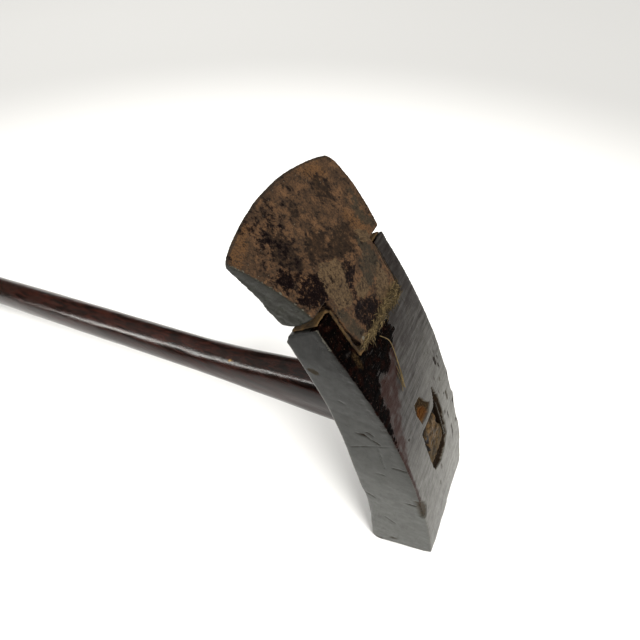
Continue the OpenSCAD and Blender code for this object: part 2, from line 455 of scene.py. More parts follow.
def handle_material():
    """Polished red-brown wood with long grain; its cut end is bare, painted near-black at its top, and as
    painted shade at its sides and in a spot.
    """
    s = new_material("handle_wood")
    along = s.stretch(turn=(0, SLOPE, 0), scale=(0.07, 1, 1))
    streak = s.noise(2.8 * MM, 5, 0.6, 0.5, along)
    fine = s.noise(0.7 * MM, 4, 0.65, 0.2, along)
    cloud = s.noise(28 * MM, 4, 0.6, 0.5)
    dent = s.noise(6 * MM, 3, 0.5, 0.6, s.stretch(turn=(0, SLOPE, 0), scale=(0.3, 1, 1)))
    base = s.mix(s.band(streak, 0.38, 0.62), (12, 3, 1), (44, 16, 8))
    base = s.mix(s.band(cloud, 0.45, 0.7, 0, 0.5), base, (24, 15, 10))
    base = s.mix(s.band(fine, 0.6, 0.76, 0, 0.5), base, (58, 30, 17))
    bare = s.mix(s.band(fine, 0.35, 0.65), (58, 43, 24), (98, 76, 46))
    bare = s.mix(s.band(s.noise(4 * MM, 3, 0.6), 0.4, 0.6, 0, 0.8), bare, (30, 22, 9))
    base = s.mix(s.painted("raw"), base, bare)
    # The tenon's end painted near-black: painted shade at its sides and in a spot, and darker over its top
    base = s.mix(s.band(s.painted("black"), 0.2, 0.8), base, (14, 9, 6))
    base = s.mix(s.painted("fleck"), base, (170, 130, 60))
    normal = s.bump(dent, 0.4 * MM, 0.42, s.bump(fine, 0.15 * MM, 0.5))
    rough = s.add(s.band(streak, 0.3, 0.7, 0.15, 0.25), s.times(s.painted("raw"), 0.5))
    dull = s.times(s.painted("raw"), 0.5)
    return s.surface(base, rough, 0.23, normal, metallic=dull)


def end_grain_material():
    """Bare end grain, dirty with age."""
    s = new_material("wedge_wood")
    fine = s.noise(0.8 * MM, 4, 0.7, 0.2, s.stretch(scale=(0.3, 1, 1)))
    cloud = s.noise(6 * MM, 3, 0.6, 0.3)
    base = s.mix(s.band(fine, 0.35, 0.65), (42, 31, 15), (72, 56, 32))
    base = s.mix(s.band(cloud, 0.45, 0.65, 0, 0.7), base, (22, 17, 8))
    return s.surface(base, 0.85, 0.2, s.bump(fine, 0.4 * MM, 0.7))


def fibre_material(name, low, high, shade):
    """Matted plant fibre, from its low tone to its high one as painted, with darker strands."""
    s = new_material(name)
    strand = s.noise(0.7 * MM, 3, 0.6, 0.2)
    clump = s.noise(4 * MM, 3, 0.6)
    base = s.mix(s.ragged("tone", clump, 0.35, 0.65, 0.2), low, high)
    base = s.mix(s.band(strand, 0.5, 0.7, 0, 0.6), base, shade)
    return s.surface(base, 0.85, 0.2, s.bump(strand, 0.3 * MM, 0.6))


# -------- head block


def head_depths(co):
    """How far points lie behind the front face, and in front of the back face."""
    front = FRONT_R - np.hypot(co[:, 0] - FRONT_C[0], co[:, 2] - FRONT_C[1])
    back = np.hypot(co[:, 0] - BACK_C[0], co[:, 2] - BACK_C[1]) - BACK_R
    return front, back


def on_line(y, z, start, end, width):
    """1 on a line between two points given in mm, and 0 beyond `width` from it."""
    a, b = np.array(start) * MM, np.array(end) * MM
    d = b - a
    t = np.clip(((y - a[0]) * d[0] + (z - a[1]) * d[1]) / (d @ d), 0, 1)
    return 1 - fade(np.hypot(y - a[0] - t * d[0], z - a[1] - t * d[1]), 0.3 * width, width)


def area(u, v, outline, soft):
    """1 inside an outline given in mm, 0 outside it, and a change `soft` mm wide each side of it."""
    corners = np.array(outline, float) * MM
    inside = np.zeros(len(u), bool)
    nearest = np.full(len(u), np.inf)
    for a, b in zip(corners, np.roll(corners, -1, axis=0)):
        d = b - a
        t = np.clip(((u - a[0]) * d[0] + (v - a[1]) * d[1]) / (d @ d), 0, 1)
        nearest = np.minimum(nearest, np.hypot(u - a[0] - t * d[0], v - a[1] - t * d[1]))
        if d[1]:
            inside ^= ((a[1] > v) != (b[1] > v)) & (u < a[0] + (v - a[1]) * d[0] / d[1])
    return fade(np.where(inside, nearest, -nearest), -soft * MM, soft * MM)


def spot(u, v, centre, size, turn=0.0):
    """1 at the middle of an ellipse given in mm, and 0 from its rim outwards."""
    c, s = math.cos(math.radians(turn)), math.sin(math.radians(turn))
    du, dv = u - centre[0] * MM, v - centre[1] * MM
    r = np.hypot((c * du + s * dv) / (size[0] * MM), (c * dv - s * du) / (size[1] * MM))
    return 1 - fade(r, 0.35, 1.0)


def by_height(z, *pairs):
    """A value that is given at some heights in mm, and goes evenly from each to the next."""
    heights, values = zip(*pairs)
    return np.interp(z, np.array(heights) * MM, values)


# The block's hewn widths: heights, and half its width there on its near and far side, in mm
HALF_WIDTHS = [
    (0, 38.4, 37.6), (24, 38.2, 37.4), (60, 37.8, 37.0), (95, 38.4, 37.6),
    (130, 37.2, 38.8), (150, 36.9, 39.0), (186, 38.6, 38.2), (211, 38.2, 37.4),
]

# Outlines on the head's front, in mm: distance across from its middle, and height
MOUTH = [
    (-13.4, 98), (-12.9, 114), (-10, 120), (-2, 119.3), (4.7, 118.8), (10, 121), (13.6, 130.5),
    (16.2, 121), (16.2, 106), (14.8, 88), (8, 82.2), (-1, 79.8), (-10.8, 84),
]
TORN = [(-8.8, 138.9), (-1.5, 138.2), (1.6, 131.5), (5.6, 126.2), (1.6, 123.4), (-8.6, 124.4), (-10.3, 133.4)]
TORN_ORANGE = [(-5.5, 133.5), (0.2, 128), (1.5, 122), (-8, 123.8), (-8.6, 130)]
EDGE_CHIP = [(-36.2, 92), (-33.4, 85), (-32.6, 79), (-35.5, 73.5), (-42, 72), (-42, 90)]
WOOD_CHIP = [(-30, 192), (-27.6, 192), (-27.4, 185), (-29, 183), (-31, 186)]
RED_FLANK = [(-30, 172), (2, 176), (-10, 160), (-24, 144), (-35, 116), (-38, 150)]
CRUST = [
    (-42, 214), (-25, 214), (-24.4, 194), (3, 194), (5.5, 180), (-4, 173.7), (-12.4, 172.1),
    (-18, 170.9), (-24, 170.6), (-28.4, 167.2), (-28.3, 162.5), (-29.6, 158.1), (-31.9, 151.6),
    (-34.5, 146), (-37, 138), (-42, 138),
]


class Places:
    """Where the head's points lie: along, across, up, and how far from its front and back faces."""

    def __init__(self, co):
        self.follow(co)
        self.y = co[:, 1].copy()
        self.front, self.back = head_depths(co)
        self.near = self.y < 0
        self.shallow = self.front < 5 * MM
        self.corner = np.abs(self.y) + np.maximum(-self.front, -self.back) - HALF_HEAD

    def follow(self, co):
        """Reads again how far along and up the points lie."""
        self.x, self.z = co[:, 0] - BUTT_X, co[:, 2].copy()

    def find_faces(self, normal):
        """Marks the points on the front face and on the near side."""
        self.on_front = fade(normal @ FACING, 0.5, 0.8) * (self.front < 4 * MM)
        self.on_side = fade(-normal[:, 1], 0.5, 0.8)


def hew_sides(co, at):
    """Makes the block a little wider at some heights than at others."""
    heights, near_half, far_half = np.array(HALF_WIDTHS).T * MM
    half = np.where(at.near, np.interp(at.z, heights, near_half), np.interp(at.z, heights, far_half))
    co[:, 1] *= 1 + fade(np.abs(at.y), 20 * MM, 38 * MM) * (half / HALF_HEAD - 1)


def wear_edges(co, normal, at):
    """Wear rounds the long edges unevenly, most of all low on the far front edge."""
    on_face = (at.front < 9 * MM) | (at.back < 9 * MM)
    worn = fade(at.corner, -3.0 * MM, 0.4 * MM) * on_face
    battered = fade(at.z, 150 * MM, 110 * MM) * ~at.near * (at.front < at.back)
    hollow = spot(at.x, at.z, (-52, 48), (16, 30)) * at.near * (at.back < at.front)
    amount = 0.25 + 0.3 * noise(co, 17 * MM, 5) + battered * (0.9 + 1.6 * noise(co, 9 * MM, 6)) + 1.5 * hollow
    butt_edge = fade(at.z, 30 * MM, 22 * MM) * at.shallow
    amount += butt_edge * 0.5 * (noise(co, 7 * MM, 9) - 0.4)
    co -= normal * (np.maximum(worn, butt_edge * 0.4) * np.maximum(amount, 0) * MM)[:, None]


def break_front(co, normal, at):
    """Cuts the mortise's ragged mouth, the chip torn out above it and the one on the near edge."""
    mouth = area(at.y, at.z, MOUTH, 0.5) * (at.front < 7 * MM) * (np.abs(normal[:, 1]) < 0.75)
    mouth_depth = (1.6 + 1.0 * noise(co, 3 * MM, 12)) * MM * fade(at.front, 7 * MM, 2 * MM)
    co -= FACING * (mouth * mouth_depth)[:, None]
    torn = area(at.y, at.z, TORN, 0.5) * at.shallow
    depth = 1.0 + 1.2 * area(at.y, at.z, TORN_ORANGE, 1.5) + 0.4 * noise(co, 2.5 * MM, 8)
    co -= FACING * (torn * depth * MM)[:, None]
    chip = area(at.y, at.z, EDGE_CHIP, 0.8) * fade(at.front, 4.0 * MM, 1.8 * MM)
    co -= normal * (chip * (1.2 + 0.5 * noise(co, 3 * MM, 13)) * MM)[:, None]
    return mouth, torn, chip


def crack_side(co, normal, at):
    """Cracks and dents in the near side, and a pit in the front."""
    is_side = at.near & (np.abs(normal[:, 1]) > 0.6)
    x, z = at.x + 0.5 * MM * rough(co, 5 * MM, 33, 2), at.z + 0.5 * MM * rough(co, 5 * MM, 35, 2)
    # Each one's relative depth, its two ends along and up in mm, and its width in mm
    lines = [
        (0.8, (-65, 120.5), (-41, 141.5), 0.65),
        (1.3, (-63.5, 137.3), (-59, 137.9), 1.3),
        (1.0, (-59, 137.9), (-50, 135.5), 0.9),
        (0.6, (-52, 136), (-44.5, 114), 0.65),
        (1.0, (-58, 142), (-54.5, 141), 1.0),
        (0.8, (-40, 118), (-34, 120), 1.1),
        (1.0, (-30, 80.5), (-21.5, 84.5), 0.9),
        (0.8, (-52.5, 71), (-46, 68.6), 1.1),
        (0.7, (-36, 46), (-29, 43), 1.0),
        (0.7, (-48, 104), (-44, 105.5), 1.1),
        (0.6, (-74, 161.5), (-71, 160.5), 1.0),
    ]
    cracks = [depth * on_line(x, z, start, end, width * MM) for depth, start, end, width in lines]
    crack = np.maximum.reduce(cracks) * is_side * fade(noise(co, 4 * MM, 37), -0.7, 0.3)
    at.follow(co)
    pit = spot(at.y, at.z, (-25.6, 131.5), (1.1, 1.1)) * at.shallow
    co -= normal * (np.maximum(crack, pit) * 0.4 * MM)[:, None]
    return crack, pit


def roughen_head(co, normal, at):
    """Shallow hewing marks everywhere, streaks across the front, and a pitted crust."""
    ragged_y = at.y + 1.3 * MM * noise(co, 5 * MM, 14)
    ragged_z = at.z + 2.2 * MM * noise(co, (6 * MM, 2.6 * MM, 9 * MM), 15)
    crust = area(ragged_y, ragged_z, CRUST, 3.4) * at.shallow
    streaks = rough(co, (3 * MM, 16 * MM, 2.4 * MM), 17, 2) * at.shallow * 0.07
    hewn = rough(co, (14 * MM, 14 * MM, 22 * MM), 11, 2) * 0.2 + rough(co, 3.2 * MM, 21, 2) * 0.04
    pits = rough(co, 1.8 * MM, 25, 2) * 0.14 * crust
    co += normal * ((hewn + streaks + pits) * MM)[:, None]
    return crust


def housing_wall(normal, at):
    """1 on the walls that the tang's packing lies against."""
    inside = (at.front < 16 * MM) & (np.abs(at.y) < 31 * MM) & (at.z > 172 * MM)
    return fade(normal @ FACING, 0.75, 0.5) * inside


def paint_head_tones(obj, normal, at, crust):
    """How light the wood is painted at each height, as a painted reflection of the floor on the sides and
    back, with a painted sheen on the front, and where it is sooty or red.
    """
    # pale: a painted reflection of the floor, strongest low on the block
    pale = by_height(at.z, (30, 0.92), (60, 0.86), (90, 0.7), (120, 0.44), (150, 0.31), (180, 0.1), (200, 0))
    # A painted reflection on the front, lighter low down and towards the far side
    front_sheen = by_height(
        at.z, (75, 0.61), (90, 0.56), (105, 0.44), (120, 0.3), (130, 0.16), (140, 0.07), (150, 0.02), (165, 0)
    )
    front_sheen += 0.34 * fade(at.y, -20 * MM, 30 * MM) * fade(at.z, 190 * MM, 130 * MM)
    seam = fade(at.y, -33.5 * MM, -36.5 * MM) * fade(at.z, 60 * MM, 100 * MM) * (1 - at.on_side)
    flank = area(at.y, at.z, RED_FLANK, 5)
    paint(obj, "front", at.on_front)
    paint(obj, "pale", pale)
    paint(obj, "front_sheen", front_sheen)
    paint(obj, "dark", np.maximum(crust * (1 - 0.9 * at.on_side), housing_wall(normal, at)))
    paint(obj, "red", np.maximum(0.9 * seam, 0.75 * flank) * (at.front < 3 * MM))


def paint_head_marks(obj, co, at, mouth, torn, chip, crack):
    """Rubbed edges with painted highlights and a painted glint, stains and a darker band along the bottom,
    bare wood, and cracks painted dark, with painted shade in the mortise's hollows.
    """
    y, z = at.y, at.z
    # Painted highlight along the near front edge, painted reflection along the near back edge, painted glint
    # at the near cheek's top corner
    front_edge_highlight = fade(np.abs(at.corner - 0.2 * MM), 0.9 * MM, 0.2 * MM) * at.near * (at.front < 2.2 * MM)
    back_edge_reflection = fade(at.corner, -2.2 * MM, -0.6 * MM) * at.near * (at.back < 2.5 * MM)
    corner_glint = on_line(y, z, (-37.4, 210.5), (-37.8, 201), 0.5 * MM) * (at.front < 1.2 * MM)
    paint(obj, "rub_and_highlight", np.maximum.reduce((0.5 * front_edge_highlight, 0.85 * back_edge_reflection, corner_glint)))
    stains = [
        spot(at.x, z, (-88, 179), (5.0, 3.6)) * at.on_side,
        spot(at.x, z, (-26, 15.6), (6.0, 2.6), 35) * at.on_side,
        # Darker over the lowest 9 mm of the block
        fade(z, 9 * MM, 2 * MM) * 0.6,
        spot(y, z, (26.8, 109), (1.8, 7.0)) * at.on_front,
        spot(y, z, (25, 125), (1.3, 3.0)) * at.on_front,
        spot(y, z, (-2.5, 75), (1.6, 5.0)) * at.on_front,
        spot(y, z, (-8, 66), (1.3, 6.5)) * at.on_front,
    ]
    paint(obj, "stain", np.maximum.reduce(stains))
    in_mortise = (np.abs(y) < 17 * MM) & (z > 78 * MM) & (z < 134 * MM) & (at.front > 0.9 * MM)
    in_mortise = np.maximum(in_mortise, fade(mouth, 0.25, 0.6)) * (1 - torn)
    wood_chip = area(y, z, WOOD_CHIP, 0.8) * at.shallow
    paint(obj, "raw", np.maximum.reduce((0.55 * chip, 0.9 * torn, 0.85 * in_mortise, 0.8 * wood_chip)))
    paint(obj, "orange", area(y, z, TORN_ORANGE, 1.2) * torn)
    # Painted shade in the mortise's hollows, put in the crack mask
    mortise_shade = in_mortise * fade(noise(co, 3 * MM, 39), 1, 0.3)
    dashes = fade(noise(co, (8 * MM, 1.6 * MM, 6 * MM), 27), 0.4, 0.55) * at.on_front
    dashes *= fade(y, 14 * MM, 21 * MM) * fade(z, 158 * MM, 138 * MM) * fade(z, 60 * MM, 80 * MM)
    paint(obj, "crack", np.maximum.reduce((crack, 0.9 * mortise_shade, 0.8 * dashes)))


def make_head():
    obj = copy_of_cad("adze_head", "head_block")
    remesh(obj, 0.75 * MM, 2)
    co, normal = points_of(obj), normals_of(obj)
    at = Places(co)
    hew_sides(co, at)
    wear_edges(co, normal, at)
    mouth, torn, chip = break_front(co, normal, at)
    crack, pit = crack_side(co, normal, at)
    # The near cheek's top is worn down a little
    co[:, 2] -= CHEEK_DROP * fade(at.y, -20 * MM, -27 * MM) * fade(at.z, 188 * MM, 197 * MM)
    crust = roughen_head(co, normal, at)
    move_points(obj, co)

    normal = normals_of(obj)
    at.find_faces(normal)
    paint_head_tones(obj, normal, at, crust)
    paint_head_marks(obj, co, at, mouth, torn, chip, np.maximum(0.7 * crack, pit))
    finish_piece(obj, "head_wood", head_material(), "head_block")


# -------- blade


def edge_reach(y):
    """How far above its shoulders the blade's edge lies, at a distance across."""
    return BLADE_LEN - (EDGE_R - np.sqrt(EDGE_R**2 - y**2))


def near_side(u):
    """How far across the blade's near side lies, at a distance above the shoulders."""
    return 36.8 * MM + 0.06 * u + 4.5 * u**2


def far_side(u):
    """How far across the blade's far side lies, at a distance above the shoulders."""
    return (36.1 + 9.2 * math.sin(min(u / (34 * MM), 1) * math.pi / 2)) * MM


def blade_outline():
    """The blade's outline in its own plane: distance above the shoulders, and distance across."""
    near = [(u, -near_side(u)) for u in np.linspace(0, 41 * MM, 12)]
    edge = [(edge_reach(v) + 0.5 * MM, v) for v in np.linspace(-46.4 * MM, 42.4 * MM, 40)]
    turn = [(40.8 * MM, 44.4 * MM), (38.0 * MM, 45.3 * MM)]
    far = [(u, far_side(u)) for u in np.linspace(34 * MM, 0, 12)]
    return near + edge[1:] + turn + far


def slab(name, points, step):
    """A closed slab: a flat outline, and a copy of it moved by `step`."""
    n = len(points)
    other = [p + step for p in points]
    sides = [(i, (i + 1) % n, n + (i + 1) % n, n + i) for i in range(n)]
    return new_object(name, points + other, [tuple(range(n))[::-1], tuple(range(n, 2 * n))] + sides)


def join_meshes(obj, other):
    """Adds the other object's mesh to the first, and removes the other."""
    offset = len(obj.data.vertices)
    verts = [v.co for v in obj.data.vertices] + [v.co for v in other.data.vertices]
    faces = [tuple(p.vertices) for p in obj.data.polygons]
    faces += [tuple(i + offset for i in p.vertices) for p in other.data.polygons]
    both = new_object("both", verts, faces)
    obj.data = both.data
    bpy.data.objects.remove(both)
    bpy.data.objects.remove(other)


def shape_plate():
    """The blade above the tang, thinned from its shoulders to its edge."""
    outline = [SHOULDER + u * BLADE_OUT + v * ACROSS for u, v in blade_outline()]
    plate = slab("adze_blade", outline, -BLADE_T * BLADE_FACE)
    remesh(plate, 0.65 * MM, 1)
    co = points_of(plate) - SHOULDER
    u, depth, y = co @ BLADE_OUT, -(co @ BLADE_FACE), co[:, 1]
    # How thick it is, in mm, at shares of the way from the shoulders to the edge
    shares = (0, 0.16, 0.29, 0.41, 0.53, 0.65, 0.76, 0.86, 0.95, 1.0)
    profile = np.array((19.5, 19.4, 17.6, 14.8, 11.7, 9.4, 7.5, 6.0, 3.9, 1.1)) * MM
    thickness = np.interp(u / edge_reach(y), shares, profile)
    new_depth = depth / BLADE_T * thickness * (1 + 0.05 * noise(co, 9 * MM, 31))
    rake = 5 * MM * np.clip(new_depth / BLADE_T, 0, 1) ** 4 * fade(u, 16 * MM, 0)
    co += np.outer(rake, BLADE_OUT) + np.outer(depth - new_depth, BLADE_FACE)
    move_points(plate, co + SHOULDER)
    return plate


def shape_tang():
    """The tang, whose top reaches into the blade without showing through its front."""
    side = -ACROSS * TANG_W / 2
    foot = SHOULDER + TANG_LEN * TANG_DOWN
    profile = [
        SHOULDER + 5 * MM * BLADE_OUT - 0.8 * MM * BLADE_FACE,
        SHOULDER,
        foot,
        foot - TANG_T * TANG_FACE,
        SHOULDER - TANG_T * TANG_FACE + 3 * MM * BLADE_OUT,
    ]
    return slab("tang", [p + side for p in profile], ACROSS * TANG_W)


# Patches of the blade's front, in mm: distance above the shoulders, negative on the tang, and across
SCALE_PATCHES = [
    [(42, -20), (35, -15), (23, -15), (16, -17), (15, -23), (22, -28), (27, -33), (33, -25)],
    [(16, 3), (18, 11), (13.5, 20), (5, 20), (1.4, 12), (4, 5), (8, -6), (12, -6)],
    [(40, 26), (33, 30), (27, 24), (30, 16), (36, 18)],
    [(40, 1), (34, 2), (32, -4), (37, -4)],
    [(24, 2), (17, 4), (12, -6), (14, -16), (22, -14)],
]
GREY_PATCHES = [
    [(5, 17), (1, 23), (-8, 21), (-20, 19), (-25, 11), (-17, 11), (-15, 1), (-4, 9)],
    [(24, 38), (13, 35), (4, 35), (1, 32), (7, 28), (17, 28)],
    [(-4, -25), (-13, -18), (-28, -17), (-31, -22), (-18, -25)],
]
BLACK_PATCHES = [
    [(14.6, -25), (11, -17), (5, -17), (-1, -25), (1, -33), (8, -37)],
    [(4, -2), (-2.5, 3), (-6.6, -2.5), (-13.4, -6), (-13, -11), (-3.2, -6)],
    [(-12.5, -13), (-16.5, -2), (-24, 5), (-31.5, 1), (-32, -13), (-24, -16), (-16, -15.5)],
    [(24, -32), (18, -24), (13, -27), (16, -38), (22, -38)],
]
TAN_PATCHES = [
    [(11.7, -14), (8, -2), (-1.4, -4), (-8, -7.5), (-13, -14), (-8, -22.5), (2, -22.8)],
    [(-8.7, -4), (-10, 5), (-17, 5), (-16, -4), (-12, -6)],
    [(-12, 18), (-19, 20), (-27, 18), (-30, 8), (-23, 4)],
    [(-26, 24), (-28, -23), (-31, -23), (-31, 24)],
    [(9, 20), (4, 28), (-1, 26), (1, 19)],
]
ORANGE_PATCHES = [
    [(18, 23), (12, 33), (2.5, 31), (-2.5, 25), (2.4, 21), (12, 20)],
    [(48, 18), (44, 34), (36, 37), (37, 24)],
    [(48, -26), (43, -23), (37, -37), (37, -45), (43, -43)],
]
DUSK_PATCHES = [
    [(46, -30), (48, -14), (44, -8), (35, -13), (25, -15), (15, -18), (17, -29), (26, -35), (36, -32)],
]


def paint_blade(blade, co, normal, offset):
    """Masks for the front, for each kind of rust on it, for rubbed edges with painted highlights, for thin
    edges, and painted shade under the shoulders and along the tang.
    """
    u, y, down = offset @ BLADE_OUT, offset[:, 1], offset @ TANG_DOWN
    depth = -(offset @ BLADE_FACE)
    is_front = fade(normal @ BLADE_FACE, 0.5, 0.75)
    notch = fade(np.abs(y), 32 * MM, 29 * MM) * fade(depth, 9 * MM, 5 * MM) * fade(u, 3 * MM, 1 * MM)
    paint(blade, "front", np.maximum.reduce((is_front, notch, fade(down, 2 * MM, 5 * MM))))
    run = np.where(u > 0, u, -down) + 1.7 * MM * rough(co, 6 * MM, 91, 3)
    over = y + 1.7 * MM * rough(co, 6 * MM, 95, 3)

    def patches(outlines, soft):
        return np.maximum.reduce([area(run, over, outline, soft) for outline in outlines]) * is_front

    # Painted shade: the faces below the shoulders that are not the front
    underside_shade = 0.6 * fade(down, 0, 2 * MM) * (1 - is_front)
    black = np.maximum.reduce((patches(BLACK_PATCHES, 2.6), 0.42 * patches(DUSK_PATCHES, 7), underside_shade))
    paint(blade, "scale", patches(SCALE_PATCHES, 3.6))
    paint(blade, "grey", patches(GREY_PATCHES, 3.0))
    paint(blade, "black", black)
    paint(blade, "tan", patches(TAN_PATCHES, 1.5))
    paint(blade, "orange", patches(ORANGE_PATCHES, 4.5))
    past_side = -y - near_side(u) + 0.5 * MM
    # A painted highlight along the near front edge, and a painted glint at the tang's lower corner
    near_arris_highlight = fade(past_side, -0.7 * MM, 0.2 * MM) * fade(depth, 1.4 * MM, 0.3 * MM) * (u > 1 * MM)
    glint = spot(down, y, (28.3, -20.5), (1.7, 1.7)) * is_front
    paint(blade, "rub_and_highlight", np.maximum(near_arris_highlight * 0.6, glint * 1.3))
    paint(blade, "rim", fade(u - edge_reach(y), -1.4 * MM, -0.5 * MM))


def make_blade():
    blade = shape_plate()
    join_meshes(blade, shape_tang())
    remesh(blade, 0.55 * MM, 2)
    co, normal = points_of(blade), normals_of(blade)
    offset = co - SHOULDER
    # The tang draws in a little towards its foot on the near side
    co[:, 1] *= 1 - 0.1 * fade(offset @ TANG_DOWN, 15 * MM, 31 * MM) * (offset[:, 1] < 0)
    pitted = rough(co, 5 * MM, 41, 3) * 0.12 - np.abs(noise(co, 1.6 * MM, 44)) * 0.07
    co += normal * (pitted * MM)[:, None]
    back_arris = fade(np.abs(normal[:, 1]), 0.55, 0.85) * fade(-(offset @ BLADE_FACE), 3 * MM, 8 * MM)
    co += normal * (back_arris * rough(co, 4 * MM, 47, 2) * 0.3 * MM)[:, None]
    move_points(blade, co)
    paint_blade(blade, co, normal, offset)
    finish_piece(blade, "blade_iron", rust_material(), "blade")


# -------- packing


def top_plane(x):
    """Height of a plane just above the cheeks' tops, at x."""
    return TOP_FRONT[1] + 0.56 * MM + math.tan(TOP_SLOPE) * (x - TOP_FRONT[0])


def press_packing(co):
    """Presses the packing's pad flatter on the near side, and keeps its ends off the cheeks' edges."""
    above = co[:, 2] - top_plane(co[:, 0])
    pressed = fade(co[:, 1], -22 * MM, -27 * MM) * fade(co[:, 2], 190 * MM, 196 * MM)
    co[:, 2] -= pressed * (CHEEK_DROP + 0.4 * np.clip(above, 0, 6 * MM))
    # It doesn't reach over the eased back edge of the cheeks' tops
    forward = np.array((math.cos(TOP_SLOPE), 0, math.sin(TOP_SLOPE)))
    along = (np.array((TOP_FRONT[0], 0, TOP_FRONT[1])) - co) @ forward
    over = 0.6 * np.maximum(along - 16 * MM, 0) * fade(np.abs(co[:, 1]), 25 * MM, 29 * MM)
    co += over[:, None] * forward
    # Its ends are drawn in behind the cheeks' sides
    past = np.maximum(np.abs(co[:, 1]) - 34 * MM, 0)
    co[:, 1] -= np.sign(co[:, 1]) * 0.35 * past


def make_packing():
    obj = copy_of_cad("fibre_packing", "tang_packing")
    remesh(obj, 0.55 * MM, 2)
    co, normal = points_of(obj), normals_of(obj)
    co += normal * (rough(co, (3 * MM, 1.2 * MM, 3 * MM), 51, 3) * 0.35 * MM)[:, None]
    press_packing(co)
    move_points(obj, co)
    # The packing is painted dark as shade where it lies against the tang under the blade, and lighter at its
    # front edge on the cheeks, just above the cheeks' tops and at the tang's foot
    y, z = co[:, 1], co[:, 2]
    on_cheek = fade(np.abs(y), 24 * MM, 27 * MM)
    lip = on_cheek * fade(z, 204 * MM, 208 * MM) * fade(head_depths(co)[0], 2.2 * MM, 0.8 * MM)
    foot = fade(z, 190 * MM, 187 * MM)
    low = fade(z - top_plane(co[:, 0]), 2.6 * MM, 0)
    tone = np.maximum.reduce((lip, foot, (0.05 + 0.75 * low) * on_cheek))
    paint(obj, "tone", 0.08 + tone * (0.85 + 0.4 * noise(co, 2 * MM, 53)))
    # The darkest tone is the painted shade under the blade
    material = fibre_material("packing_fibre", (14, 8, 4), (84, 64, 37), (34, 20, 9))
    finish_piece(obj, "packing_fibre", material, "tang_packing")


def front_point(y, z, lift):
    """The point of the head's front face at y and z, raised by lift."""
    x = FRONT_C[0] + math.sqrt(FRONT_R**2 - (z - FRONT_C[1]) ** 2)
    out = Vector((x - FRONT_C[0], 0, z - FRONT_C[1])).normalized()
    return Vector((x, y, z)) + lift * out


def front_line(places):
    """Points of the front face from y, z and lift in mm."""
    return [front_point(y * MM, z * MM, lift * MM) for y, z, lift in places]


def tube(points, radius, sides=5):
    """Points of a closed thin tube along a line of points, and its faces."""
    verts = []
    for i, p in enumerate(points):
        ahead = (points[min(i + 1, len(points) - 1)] - points[max(i - 1, 0)]).normalized()
        a = ahead.orthogonal().normalized()
        b = ahead.cross(a)
        taper = 0.35 if i in (0, len(points) - 1) else 1.0
        for k in range(sides):
            t = 2 * math.pi * k / sides
            verts.append(p + radius * taper * (math.cos(t) * a + math.sin(t) * b))
    return verts, tube_faces(len(points), sides)


def smooth_line(points, count):
    """Points evenly along a smooth curve through the given ones."""
    pts = [points[0], *points, points[-1]]
    line = []
    for k in range(count):
        t = k / (count - 1) * (len(points) - 1)
        i = min(int(t), len(points) - 2)
        f = t - i
        p0, p1, p2, p3 = pts[i : i + 4]
        square, cube = 2 * p0 - 5 * p1 + 4 * p2 - p3, 3 * p1 - p0 - 3 * p2 + p3
        line.append(0.5 * (2 * p1 + (p2 - p0) * f + square * f**2 + cube * f**3))
    return line


def make_fibres():
    """Loose strands of the packing, thickest at the far half of the tang's foot."""
    rng = np.random.default_rng(7)
    verts, faces, tones = [], [], []

    def add(points, radius, count, tone):
        v, f = tube(smooth_line(points, count), radius)
        faces.extend(tuple(i + len(verts) for i in face) for face in f)
        verts.extend(v)
        tones.extend([tone] * len(v))

    # Height of the tang's foot on the front face
    foot_z = SHOULDER[2] - (TANG_LEN + 1.5 * MM) * math.sin(TANG_TILT)
    for _ in range(330):
        y = rng.triangular(-24, 14, 25) * MM
        thick = 1.0 + 1.6 * float(fade(np.array(y), -5 * MM, 14 * MM))
        z = foot_z + rng.normal(0, 1.0) * thick * 0.6 * MM
        length = rng.uniform(3, 11) * MM
        tilt = rng.normal(0.15, 0.6)
        line = []
        for t in (-0.5, -0.17, 0.17, 0.5):
            yy = min(max(y + t * length * math.cos(tilt), -25 * MM), 25.5 * MM)
            zz = z + t * length * math.sin(tilt) + rng.normal(0, 0.5) * MM
            line.append(front_point(yy, zz, (rng.uniform(-0.3, 0.9) * thick + 0.2) * MM))
        add(line, rng.uniform(0.09, 0.22) * MM, 9, rng.uniform(0, 1) ** 1.3)
    stray = [
        (-8.5, 184.5, 0.8), (-5, 179.5, 1.4), (-4.0, 175, 0.8), (-4.8, 169, 0.3),
        (-6.5, 164, 0.4), (-9.0, 157.5, 0.5), (-9.6, 153, 0.2),
    ]
    add(front_line(stray), 0.26 * MM, 28, 0.85)
    for k in range(4):
        y0 = -6.6 - 1.6 * k + rng.normal(0, 0.5)
        strand = [(y0 + 1.2, 168 - 1.5 * k, 0.2), (y0, 162 - 1.5 * k, 0.5), (y0 - 1.5, 156.5 - k, 0.2)]
        add(front_line(strand), 0.16 * MM, 10, 0.6)
    obj = new_object("loose_fibres", verts, faces)
    paint(obj, "tone", np.array(tones))
    material = fibre_material("loose_fibre", (38, 30, 15), (106, 90, 60), (32, 24, 12))
    finish_piece(obj, "packing_fibre", material)


# -------- handle and wedge


def grip_meets(centre, radius, up):
    """Distance along the handle at which a line `up` from its axis meets a round face of the head."""
    start = AXIS_FRONT + np.outer(up, GRIP_UP)
    ox, oz = start[:, 0] - centre[0], start[:, 2] - centre[1]
    b = ox * GRIP_OUT[0] + oz * GRIP_OUT[2]
    c = ox**2 + oz**2 - radius**2
    return -b - np.sqrt(b * b - c)


